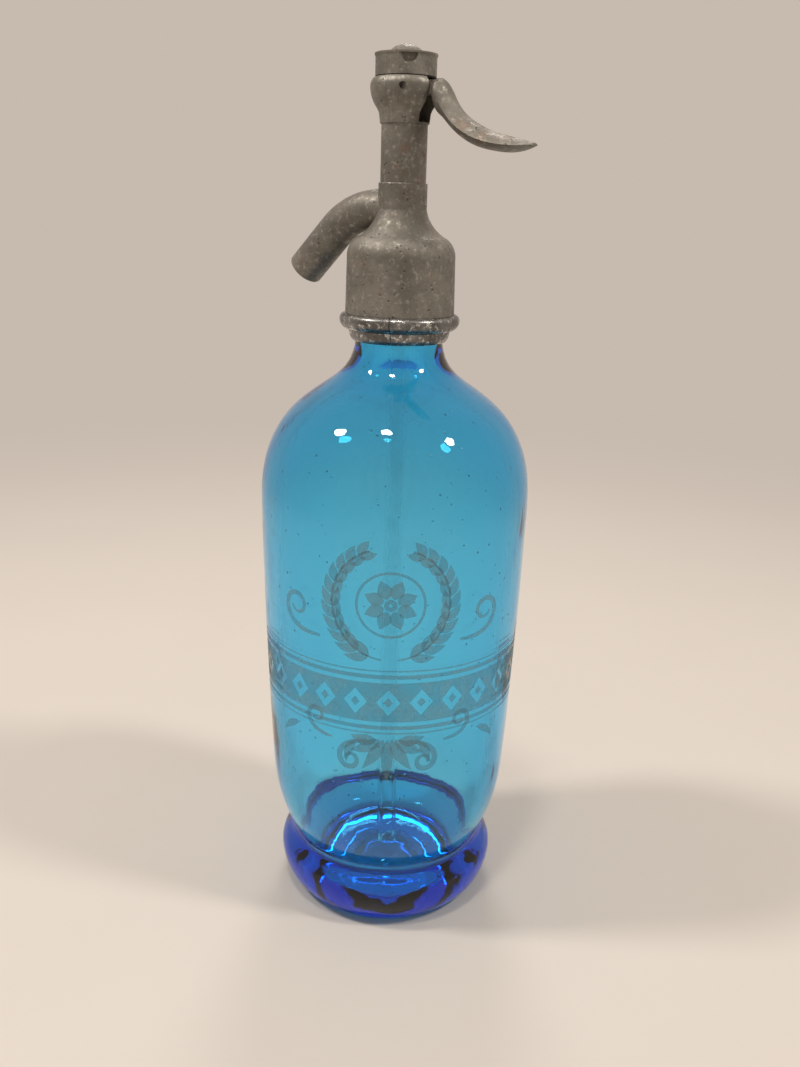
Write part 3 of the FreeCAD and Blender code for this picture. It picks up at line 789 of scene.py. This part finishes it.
    def band(self) -> None:
        """Draw the frosted band with its clear lozenges and its edge lines."""
        pitch = 2 * self.band_reach / self.lozenges
        tall = self.band_top - self.band_bottom
        middle = (self.band_top + self.band_bottom) / 2
        for index in range(self.lozenges):
            left = -self.band_reach + index * pitch
            centre = Vector((left + pitch / 2, middle))
            reach, rise = Vector((pitch * 0.36, 0.0)), Vector((0.0, tall * 0.33))
            tips = [centre - reach, centre - rise, centre + reach, centre + rise]
            ends = [Vector((left, middle)), Vector((centre.x, self.band_bottom)),
                    Vector((left + pitch, middle)), Vector((centre.x, self.band_top))]
            corners = [Vector((left, self.band_bottom)), Vector((left + pitch, self.band_bottom)),
                       Vector((left + pitch, self.band_top)), Vector((left, self.band_top))]
            for side in range(4):
                start, end = side, (side + 1) % 4
                half = tips[start].lerp(tips[end], 0.5)
                self.patch(ends[start], corners[side], half, tips[start])
                self.patch(corners[side], ends[end], tips[end], half)
            self.patch(*(centre + (tip - centre) * self.lozenge_heart for tip in tips))
        for gap, width in self.edge_lines:
            for height in (self.band_bottom - gap, self.band_top + gap):
                self.stroke([Vector((-self.band_reach + 2 * self.band_reach * step / self.line_steps, height))
                             for step in range(self.line_steps + 1)], width)

    def pendant(self) -> None:
        """Draw the fan of leaves and the tendrils under the band."""
        foot = self.band_bottom - 7.4
        for index in range(-3, 4):
            length = 18.0 - abs(index) * 2.6
            self.leaf(Vector((index * 1.4, foot)), -90 + index * 25, length, index * 14, 4.8)
        for side in (-1, 1):
            self.curl(Vector((side * 8.0, foot - 0.6)), self.handed(-12, side), 34, side * -430, 2.4)
            self.curl(Vector((side * 22.0, foot - 1.6)), self.handed(6, side), 30, side * 400, 2.0)
            self.leaf(Vector((side * 12.0, foot - 1.0)), self.handed(-48, side), 11, side * -40, 3.6)
            self.leaf(Vector((side * 38.0, foot - 0.4)), self.handed(-20, side), 13, side * -30, 3.0)

    def wreath(self) -> None:
        """Draw the rosette and the wreath of leaves round it."""
        centre = Vector((0.0, self.wreath_middle))
        for index in range(self.petals):
            degrees = 360 / self.petals * (index + 0.5)
            self.leaf(centre + self.heading(degrees) * self.petal_root, degrees,
                      self.rosette_radius - self.petal_root, 0, 5.2)
        for radius, width in ((1.5, 1.6), (self.rosette_radius + 2.2, 1.0)):
            self.stroke([centre + self.heading(360 * step / self.ring_steps) * radius
                         for step in range(self.ring_steps + 1)], width)
        for side in (-1, 1):
            stem = [centre + Vector((side * math.sin(angle), -math.cos(angle))) * self.wreath_radius
                    for angle in (math.radians(8 + 152 * step / self.stem_steps)
                                  for step in range(self.stem_steps + 1))]
            self.stroke(stem, 1.0, 0.3)
            for index in range(2, self.stem_steps, 2):
                tangent = stem[index + 1] - stem[index - 1]
                degrees = math.degrees(math.atan2(tangent.y, tangent.x))
                size = 9.5 - 3.0 * index / self.stem_steps
                self.leaf(stem[index], degrees + side * 34, size, side * -22, 3.6)
                self.leaf(stem[index], degrees - side * 34, size, side * 22, 3.6)
            self.curl(centre + Vector((side * (self.wreath_radius + 5), -15)), self.handed(0, side), 44,
                      side * 420, 2.2)

    def build(self) -> None:
        """Make the ornament as one thin piece on the glass."""
        self.band()
        self.pendant()
        self.wreath()
        frost = new_piece("etched_ornament", self.mesh, EtchedGlass().material(), "root")


@dataclass
class Head:
    """The pewter head with its collar."""

    castings: tuple[str, ...] = ("bell", "spout", "column", "lever_housing", "cap", "lever")
    collar: tuple[str, ...] = ("collar_half_front", "collar_half_back")

    def build(self) -> None:
        """Dress the castings and the collar."""
        pewter = PEWTER.material()
        for node in self.castings:
            dress(node, pewter)
        tin = TIN.material()
        for node in self.collar:
            dress(node, tin)


@dataclass
class Works:
    """The valve, piston, gland and seals inside the head."""

    brass: tuple[str, ...] = ("piston", "gland_nut", "valve_seat", "valve_holder", "valve_screw", "tube_holder")
    steel: tuple[str, ...] = ("piston_spring", "spring_washer")
    pin: tuple[str, ...] = ("pivot_pin",)
    rubber: tuple[str, ...] = ("gland_packing", "cap_washer", "lip_gasket", "seat_gasket", "valve_disc", "tube_gasket")
    spring_top: float = 326.6
    spring_length: float = 7.42
    lift: float = 1.82

    def build(self) -> None:
        """Dress the works, and give the spring a mesh of its own."""
        for nodes, finish in ((self.brass, BRASS), (self.steel, STEEL), (self.pin, DARK_STEEL), (self.rubber, RUBBER)):
            material = finish.material()
            for node in nodes:
                dress(node, material)
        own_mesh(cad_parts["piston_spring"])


@dataclass(frozen=True)
class Lamp:
    """A soft round lamp that points at the siphon. Its place and size are in metres, its power in watts."""

    name: str
    place: tuple[float, float, float]
    size: float
    power: float
    colour: Colour = (1.0, 0.95, 0.89)
    target: tuple[float, float, float] = (0.0, 0.0, 0.2)

    def hang(self) -> None:
        """Add the lamp to the scene."""
        data = bpy.data.lights.new(self.name, "AREA")
        data.shape = "DISK"
        data.size = self.size
        data.energy = self.power
        data.color = self.colour
        lamp = bpy.data.objects.new(self.name, data)
        lamp.location = self.place
        toward = Vector(self.target) - Vector(self.place)
        lamp.rotation_euler = toward.to_track_quat("-Z", "Y").to_euler()
        bpy.context.scene.collection.objects.link(lamp)


@dataclass
class Studio:
    """The camera, the pale floor and the soft light."""

    turn: float = 33.0
    distance: float = 0.3874
    height: float = 0.2763
    pitch: float = 17.65
    roll: float = 1.65
    side_step: float = 0.0025
    lens: float = 34.59
    sensor: float = 36.0
    backdrop: Colour = (0.571, 0.491, 0.429)
    floor_reach: float = 4.0
    floor_shades: tuple[Colour, Colour] = ((0.60, 0.54, 0.48), (0.57, 0.51, 0.455))
    fade_start: float = 0.30
    fade_end: float = 1.15
    fill_colour: Colour = (1.0, 0.97, 0.94)
    fill: float = 0.34
    lamps: tuple[Lamp, ...] = (
        Lamp("left_lamp", (-0.72, -0.62, 1.35), 0.22, 12.0),
        Lamp("right_lamp", (0.98, 0.20, 1.30), 0.22, 10.0),
        Lamp("ceiling_lamp", (0.15, -0.55, 1.75), 0.18, 7.0),
        Lamp("back_lamp", (-0.5, 0.8, 1.3), 0.4, 5.0),
    )

    def camera(self) -> None:
        """Set the camera at the photograph's viewing angle."""
        data = bpy.data.cameras.new("camera")
        data.sensor_fit = "VERTICAL"
        data.sensor_height = self.sensor
        data.lens = self.lens
        camera = bpy.data.objects.new("camera", data)
        angle = math.radians(self.turn)
        back = Vector((math.sin(angle), -math.cos(angle), 0.0))
        right = Vector((math.cos(angle), math.sin(angle), 0.0))
        camera.location = back * self.distance + right * self.side_step + Vector((0, 0, self.height))
        look = Matrix.Rotation(angle, 4, "Z") @ Matrix.Rotation(math.radians(90 - self.pitch), 4, "X")
        camera.matrix_world = Matrix.Translation(camera.location) @ look @ Matrix.Rotation(
            math.radians(self.roll), 4, "Z")
        bpy.context.scene.collection.objects.link(camera)
        bpy.context.scene.camera = camera

    def floor(self) -> None:
        """Lay the pale floor that catches the shadow."""
        mesh = bmesh.new()
        bmesh.ops.create_grid(mesh, x_segments=1, y_segments=1, size=self.floor_reach)
        data = bpy.data.meshes.new("floor")
        mesh.to_mesh(data)
        mesh.free()
        graph = Graph("pale_floor")
        shader = graph.node("ShaderNodeBsdfPrincipled", Roughness=0.6)
        mottle = graph.ramp(graph.noise(9.0, 3.0), 0.3, 0.7, 0.0, 0.3)
        graph.feed(shader.inputs["Base Color"], graph.blend(mottle, *self.floor_shades))
        place = graph.node("ShaderNodeVectorMath", operation="LENGTH")
        graph.feed(place.inputs[0], graph.coordinates)
        path = graph.node("ShaderNodeLightPath")
        shown = graph.maths("MAXIMUM", path.outputs["Is Camera Ray"], path.outputs["Is Transmission Ray"])
        shown = graph.maths("MAXIMUM", shown, path.outputs["Is Glossy Ray"])
        far = graph.maths("MULTIPLY", graph.ramp(place.outputs["Value"], self.fade_start, self.fade_end), shown)
        glow = graph.node("ShaderNodeEmission")
        glow.inputs["Color"].default_value = (*self.backdrop, 1.0)
        fade = graph.node("ShaderNodeMixShader")
        graph.feed(fade.inputs[0], far)
        graph.feed(fade.inputs[1], shader.outputs[0])
        graph.feed(fade.inputs[2], glow.outputs[0])
        graph.surface(fade)
        data.materials.append(graph.material)
        floor = bpy.data.objects.new("floor", data)
        bpy.context.scene.collection.objects.link(floor)

    def world(self) -> None:
        """A plain pale surround, seen by the camera and in glass and metal, with dimmer light on the object."""
        world = bpy.data.worlds.new("studio")
        world.use_nodes = True
        tree = world.node_tree
        tree.nodes.clear()
        output = tree.nodes.new("ShaderNodeOutputWorld")
        light = tree.nodes.new("ShaderNodeBackground")
        light.inputs["Color"].default_value = (*self.fill_colour, 1.0)
        light.inputs["Strength"].default_value = self.fill
        shown = tree.nodes.new("ShaderNodeBackground")
        shown.inputs["Color"].default_value = (*self.backdrop, 1.0)
        path = tree.nodes.new("ShaderNodeLightPath")
        either = tree.nodes.new("ShaderNodeMath")
        either.operation = "MAXIMUM"
        both = tree.nodes.new("ShaderNodeMath")
        both.operation = "MAXIMUM"
        mix = tree.nodes.new("ShaderNodeMixShader")
        link = tree.links.new
        link(path.outputs["Is Camera Ray"], either.inputs[0])
        link(path.outputs["Is Glossy Ray"], either.inputs[1])
        link(either.outputs[0], both.inputs[0])
        link(path.outputs["Is Transmission Ray"], both.inputs[1])
        link(both.outputs[0], mix.inputs[0])
        link(light.outputs[0], mix.inputs[1])
        link(shown.outputs[0], mix.inputs[2])
        link(mix.outputs[0], output.inputs[0])
        bpy.context.scene.world = world

    def build(self) -> None:
        """Set up the studio."""
        self.camera()
        self.floor()
        self.world()
        for lamp in self.lamps:
            lamp.hang()
        bpy.context.scene.view_settings.view_transform = "Standard"


def main() -> None:
    """Build the siphon's looks round the frame."""
    logging.basicConfig(level=logging.INFO, format="%(message)s")
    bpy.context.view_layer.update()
    for part in (Studio(), Bottle(), Head(), Works()):
        part.build()


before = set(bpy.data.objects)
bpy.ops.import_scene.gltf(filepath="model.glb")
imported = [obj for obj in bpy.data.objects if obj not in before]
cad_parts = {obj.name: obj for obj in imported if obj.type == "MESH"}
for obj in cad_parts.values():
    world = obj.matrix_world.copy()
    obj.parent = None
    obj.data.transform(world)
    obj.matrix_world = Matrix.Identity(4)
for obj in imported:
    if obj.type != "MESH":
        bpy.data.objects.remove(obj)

if __name__ == "__main__":
    main()
